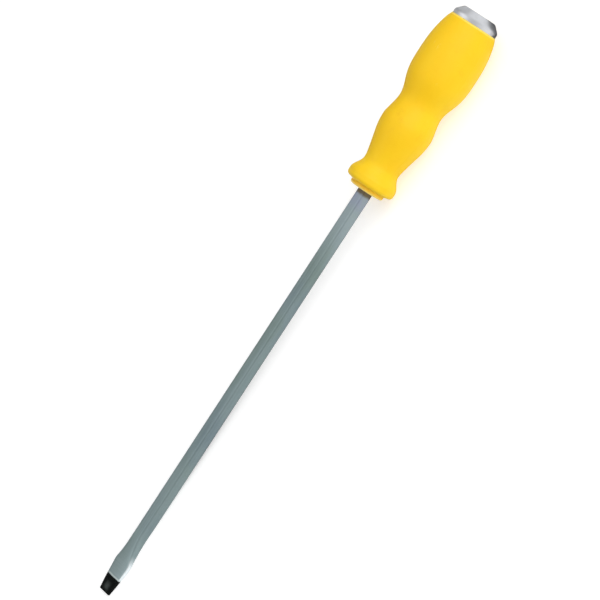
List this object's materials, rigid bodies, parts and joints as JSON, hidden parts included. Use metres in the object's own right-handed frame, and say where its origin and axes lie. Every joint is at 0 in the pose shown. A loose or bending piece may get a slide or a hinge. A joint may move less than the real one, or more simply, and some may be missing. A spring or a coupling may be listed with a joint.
{
  "type": "slotted screwdriver",
  "caption": "Long slotted screwdriver with a square steel shank running through a two-lobed cushioned handle to a steel striking cap.",
  "frame": {"origin": "centre of the blade's driving edge (the flat end face of the tip)", "axes": "+X along the tool from the driving edge to the struck face, +Z out of one wide face of the blade, +Y along the blade's width; the tool lies level"},
  "size_m": [0.358, 0.0342, 0.0342],
  "materials": {
    "blade_steel": "satin, with a black oxide tip",
    "core_plastic": "moulded, semi-gloss",
    "grip_rubber": "soft-touch, satin",
    "cap_steel": "turned and satin"
  },
  "bodies": {
    "root": {"blade": "blade_steel", "handle_core": "core_plastic", "cushion_grip": "grip_rubber", "strike_cap": "cap_steel"}
  },
  "joints": []
}
